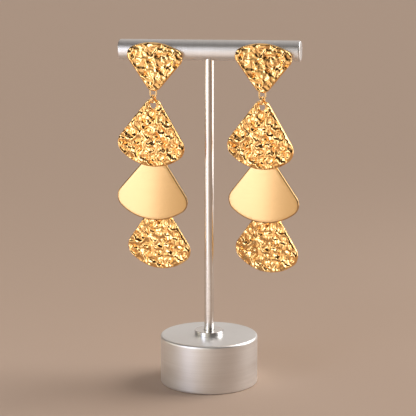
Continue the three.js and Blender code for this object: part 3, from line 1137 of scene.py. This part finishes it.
# %% A hanging fan
def add_hanging_fan(name, place, middle, strength, carried):
    """A hanging fan, hammered or, at strength 0, smooth, with the loop for the ring it carries."""
    if strength:
        mesh = hammered_plate(name, hanging_net, HANGING_SHIFT, strength)
    else:
        mesh = plate_mesh(name, smooth_net, BOW_RADIUS)
        mesh.materials.append(shaded_satin_gold)
    mesh.transform(Matrix.Translation((0, 0, HOLE_BELOW_POINT * MM)))
    matrix = hang(place["x"], middle, place["hole"], place["turn"], place["lean"])
    parts = [mesh]
    if carried is not None:
        parts.append(wire_mesh(back_loop(matrix, carried), RING_WIRE * MM))
    mesh = soldered(name, parts)
    mesh.transform(matrix)
    return finish_piece(mesh, name, None)


# %% A stud fan
POST_STEPS = 11


def add_stud(side, place):
    """The stud fan, its point down, with eyelet and post."""
    name = side + "_stud_fan"
    mesh = hammered_plate(name, stud_net, STUD_SHIFT, STRENGTH["stud"])
    mesh.transform(Matrix.Diagonal((1, 1, -1, 1)))
    mesh.flip_normals()
    matrix = hang(place["x"], STUD_MIDDLE, STUD_POINT_HEIGHT, 0, place["lean"])
    post_x = math.copysign(POST_X, place["x"])
    post = [
        Vector((post_x, y * MM, BAR_HEIGHT))
        for y in np.linspace(STUD_MIDDLE, POST_END, POST_STEPS + 1)
    ]
    post_path = [matrix.inverted() @ point for point in post]
    eyelet = wire_mesh(eyelet_path(), EYELET_WIRE * MM)
    parts = [mesh, eyelet, wire_mesh(post_path, POST_DIAMETER * MM)]
    mesh = soldered(name, parts)
    mesh.transform(matrix)
    return finish_piece(mesh, name, None)


# %% A nut
def add_nut(side, x):
    """The plain nut that holds a post behind the bar."""
    length, radius, bore = NUT_LENGTH * MM, NUT_RADIUS * MM, NUT_BORE_RADIUS * MM
    profile = rounded(
        [
            (bore, 0, 0),
            (radius, 0, 0.4 * MM),
            (radius, length, 0.6 * MM),
            (bore, length, 0.15 * MM),
            (bore, 0, 0),
        ]
    )
    mesh = turned(side + "_ear_nut", profile, 48, "Y")
    start = BAR_RADIUS + NUT_GAP * MM
    mesh.transform(Matrix.Translation((math.copysign(POST_X, x), start, BAR_HEIGHT)))
    return finish_piece(mesh, side + "_ear_nut", wire_gold)


# %% [markdown]
# Each earring is assembled from the top down. A ring hangs in what carries it, and the fan below
# hangs in the ring, so the centre of each ring follows from the hole of the fan that it carries. A
# ring between two tiers is turned halfway between its fans.

# %% Assemble both earrings
for side, earring in EARRINGS.items():
    upper, smooth, lower = earring["upper"], earring["smooth"], earring["lower"]
    smooth_middle = STUD_MIDDLE + TIER_STEP
    lower_middle = STUD_MIDDLE + 2 * TIER_STEP
    top_ring = ring_centre(upper, STUD_MIDDLE, TOP_RING_INNER)
    upper_ring = ring_centre(smooth, smooth_middle, TIER_RING_INNER)
    lower_ring = ring_centre(lower, lower_middle, TIER_RING_INNER)
    add_stud(side, earring["stud"])
    add_nut(side, earring["stud"]["x"])
    path = coil(TOP_RING_INNER, TOP_RING_WIRE, 2, TOP_RING_PITCH, cut_at=200)
    add_ring(side + "_top_ring", path, TOP_RING_WIRE, top_ring, TOP_RING_TURN)
    add_hanging_fan(side + "_upper_fan", upper, STUD_MIDDLE, STRENGTH["upper"], upper_ring)
    path = coil(TIER_RING_INNER, RING_WIRE, 1, 0, cut_at=90)
    turn = (upper["turn"] + smooth["turn"]) / 2
    add_ring(side + "_upper_ring", path, RING_WIRE, upper_ring, turn)
    add_hanging_fan(side + "_smooth_fan", smooth, smooth_middle, 0, lower_ring)
    turn = (smooth["turn"] + lower["turn"]) / 2
    add_ring(side + "_lower_ring", path, RING_WIRE, lower_ring, turn)
    add_hanging_fan(side + "_lower_fan", lower, lower_middle, STRENGTH["lower"], None)

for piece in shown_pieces():
    print(piece.name, len(piece.data.polygons))

# %% [markdown]
# ## Studio
# Polished metal shows what stands around it. Pale lights to the left of the camera give the plates
# their highlights, and the dark parts of the room between the lights give the dark creases. The
# floor is a plain matt plane.

# %% The floor
FLOOR_HALF_SIZE = 20.0

floor_mesh = bpy.data.meshes.new("floor")
corners = [(x, y, 0) for x, y in ((-1, -1), (1, -1), (1, 1), (-1, 1))]
floor_mesh.from_pydata([Vector(c) * FLOOR_HALF_SIZE for c in corners], [], [(0, 1, 2, 3)])
floor = bpy.data.objects.new("floor", floor_mesh)
bpy.context.scene.collection.objects.link(floor)
floor_material = bpy.data.materials.new("floor paint")
floor_material.use_nodes = True
floor_shader = floor_material.node_tree.nodes["Principled BSDF"]
floor_shader.inputs["Base Color"].default_value = (0.54, 0.41, 0.325, 1)
floor_shader.inputs["Roughness"].default_value = 0.9
floor_shader.inputs["Specular IOR Level"].default_value = 0.1
floor_mesh.materials.append(floor_material)
print("floor is a plane", 2 * FLOOR_HALF_SIZE, "m wide")

# %% [markdown]
# The room is a dark shell with a few soft lights in it, drawn in the world shader by their
# direction from the object. A light in the world is endlessly far away, so it lights the whole
# floor evenly. In order they are a strong lamp on the right, the pale wall behind, a faint ceiling,
# the wall on the left, a window, and a faint glow round the camera. The squash of a light makes it
# taller or wider. Each has its own colour, because daylight is bluer than a lamp and a wall warmer.
#
# Low panels near the stand add what the world can't: light from below the horizon, which upright
# plates and posts reflect towards a camera that looks down. They don't show to the camera.


# %% Directions in the studio
def direction(azimuth, elevation):
    """Unit vector from the object; azimuth 0 is the front and grows to the viewer's right."""
    a, e = math.radians(azimuth), math.radians(elevation)
    return Vector((math.sin(a) * math.cos(e), -math.cos(a) * math.cos(e), math.sin(e)))


# %% Soft lights in the world
ROOM_COLOUR = (0.035, 0.025, 0.02)
DAYLIGHT = (1.0, 1.06, 1.25)
LAMPLIGHT = (1.0, 0.96, 0.92)
WALL_LIGHT = (1.0, 0.92, 0.74)
BACKDROP_LIGHT = (1.0, 0.91, 0.83)
WORLD_LIGHTS = [
    dict(azimuth=118, elevation=38, inner=14, outer=30, squash=1.0, radiance=4.8, colour=LAMPLIGHT),
    dict(azimuth=198, elevation=32, inner=22, outer=44, squash=1.0, radiance=0.60, colour=BACKDROP_LIGHT),
    dict(azimuth=0, elevation=90, inner=14, outer=34, squash=1.0, radiance=0.4, colour=LAMPLIGHT),
    dict(azimuth=-74, elevation=4, inner=18, outer=30, squash=2.0, radiance=0.6, colour=WALL_LIGHT),
    dict(azimuth=-33, elevation=14, inner=7, outer=13, squash=0.7, radiance=2.0, colour=DAYLIGHT),
    dict(azimuth=-10, elevation=14, inner=16, outer=34, squash=0.9, radiance=0.45, colour=WALL_LIGHT),
]

world = bpy.data.worlds.new("room")
world.use_nodes = True
bpy.context.scene.world = world
room = world.node_tree
looking = add_node(room, "ShaderNodeTexCoord").outputs["Generated"]
total = ROOM_COLOUR
for light in WORLD_LIGHTS:
    squash = Vector((1, 1, light["squash"]))
    towards = (direction(light["azimuth"], light["elevation"]) * squash).normalized()
    squashed = vector_node(room, "MULTIPLY", looking, squash)
    squashed = vector_node(room, "NORMALIZE", squashed)
    closeness = add_node(
        room, "ShaderNodeVectorMath", {0: squashed, 1: towards}, operation="DOT_PRODUCT"
    ).outputs["Value"]
    glow = add_node(
        room,
        "ShaderNodeMapRange",
        {
            "Value": closeness,
            "From Min": math.cos(math.radians(light["outer"])),
            "From Max": math.cos(math.radians(light["inner"])),
            "To Max": light["radiance"],
        },
        interpolation_type="SMOOTHSTEP",
    ).outputs[0]
    glow = vector_node(room, "SCALE", light["colour"], scale=glow)
    total = vector_node(room, "ADD", total, glow)
room.links.new(total, room.nodes["Background"].inputs["Color"])
print("lights in the world:", len(WORLD_LIGHTS))


# %% Low panels near the stand
CARD_LIFT = 2 * MM
CARD_TURN = math.radians(-14)


def low_panel(name, azimuth, distance, size, radiance, colour):
    """A soft upright panel that stands on the floor and faces the stand."""
    width, height = size
    data = bpy.data.lights.new(name, "AREA")
    data.shape = "RECTANGLE"
    data.size, data.size_y = width, height
    data.energy = math.pi * radiance * width * height
    data.color = colour
    lamp = bpy.data.objects.new(name, data)
    lamp.visible_camera = False
    bpy.context.scene.collection.objects.link(lamp)
    outward = direction(azimuth, 0)
    lamp.location = outward * distance + Vector((0, 0, height / 2))
    lamp.rotation_euler = (-outward).to_track_quat("-Z", "Y").to_euler()
    return lamp


low_panel("window panel", -34, 0.28, size=(0.10, 0.20), radiance=2.1, colour=DAYLIGHT)
low_panel("left panel", -74, 0.42, size=(0.40, 0.20), radiance=0.8, colour=WALL_LIGHT)
low_panel("front panel", -10, 0.26, size=(0.17, 0.14), radiance=0.5, colour=WALL_LIGHT)
low_panel("right panel", 116, 0.42, size=(0.34, 0.22), radiance=1.9, colour=LAMPLIGHT)

# %% [markdown]
# The last panel is a card that lies on the floor in front of the stand and shines up. It stands for
# the pale table top, which brightens the underside of the bar and the side of the base.

# %% The card on the floor
card = low_panel("floor card", -10, 0.17, size=(0.24, 0.20), radiance=0.5, colour=LAMPLIGHT)
card.location.z = CARD_LIFT
card.rotation_euler = (math.pi, 0, CARD_TURN)

# %% [markdown]
# The Standard view shows colours as they are. The softer film-like views would wash out the gold.

# %% Set the view
bpy.context.scene.view_settings.view_transform = "Standard"
